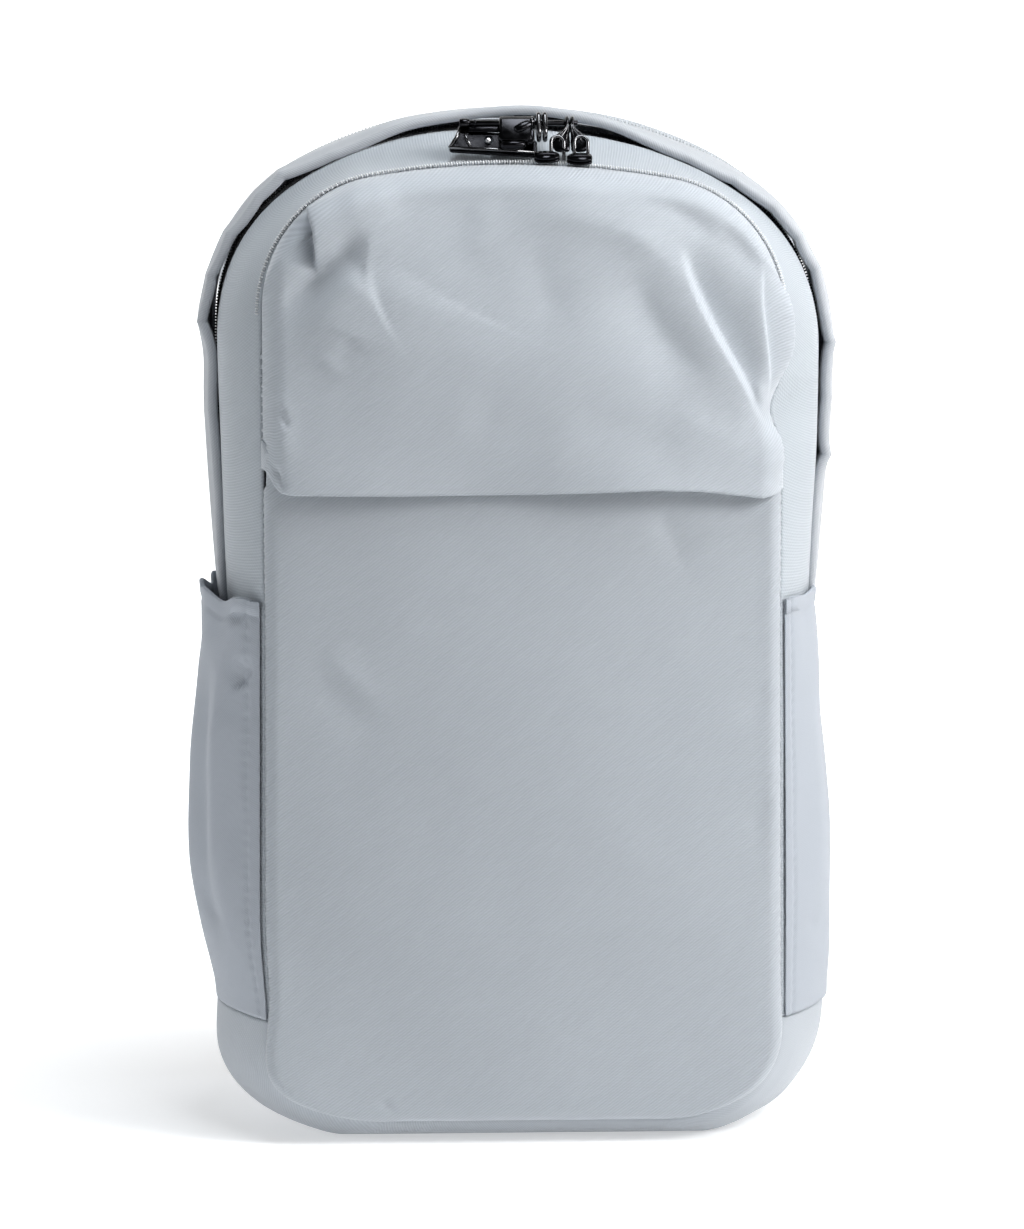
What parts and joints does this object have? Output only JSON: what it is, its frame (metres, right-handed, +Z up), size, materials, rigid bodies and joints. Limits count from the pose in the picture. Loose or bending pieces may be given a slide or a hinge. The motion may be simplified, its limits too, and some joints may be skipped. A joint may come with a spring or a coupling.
{
  "type": "backpack",
  "caption": "Soft day backpack with a full stash flap, side pockets, padded straps behind and a small metal lock that holds the zip pulls at the top.",
  "frame": {"origin": "on the floor, under the middle of the bag's bounding box", "axes": "+Z up, the front with the stash flap faces -Y, the straps are at +Y, +X to the right seen from the front"},
  "size_m": [0.3012, 0.2128, 0.471],
  "materials": {
    "body_cloth": "matt woven polyester twill, silver grey",
    "light_cloth": "coated woven cloth, pale grey",
    "zip_tape": "dark woven zip tape with coil",
    "coil_plastic": "moulded zip coil, grey",
    "mesh_padding": "air mesh over foam, grey",
    "strap_webbing": "woven webbing, grey",
    "dark_metal": "gunmetal plating, glossy",
    "buckle_plastic": "moulded acetal, grey"
  },
  "bodies": {
    "bag": {"front_gusset": "body_cloth", "rear_gusset": "body_cloth", "bottom_panel": "body_cloth", "front_wall": "body_cloth", "front_pocket": "body_cloth", "pocket_flap": "body_cloth", "side_pocket_left": "body_cloth", "side_pocket_right": "body_cloth", "rain_flap": "light_cloth", "main_zipper": "zip_tape", "front_zipper": "coil_plastic", "rear_zipper": "coil_plastic", "back_panel": "mesh_padding", "shoulder_strap_left": "mesh_padding", "shoulder_strap_right": "mesh_padding", "lower_webbing_left": "strap_webbing", "lower_webbing_right": "strap_webbing", "grab_handle": "strap_webbing", "lock_tab": "strap_webbing", "ladder_lock_left": "buckle_plastic", "ladder_lock_right": "buckle_plastic", "lock_plate": "dark_metal", "lock_rod": "dark_metal", "main_pull_1": "dark_metal", "main_pull_2": "dark_metal", "front_pull_left": "dark_metal", "front_pull_right": "dark_metal", "main_slider_1": "dark_metal", "main_slider_2": "dark_metal", "front_slider_left": "dark_metal", "front_slider_right": "dark_metal", "rear_slider": "coil_plastic"},
    "lever": {"lock_lever": "dark_metal"}
  },
  "joints": [
    {"name": "lock_lever_turn", "type": "hinge", "parent": "bag", "child": "lever", "pos_m": [0.0013, -0.05955, 0.464], "axis": [-1, 0, 0], "range_deg": [0, 95]}
  ]
}
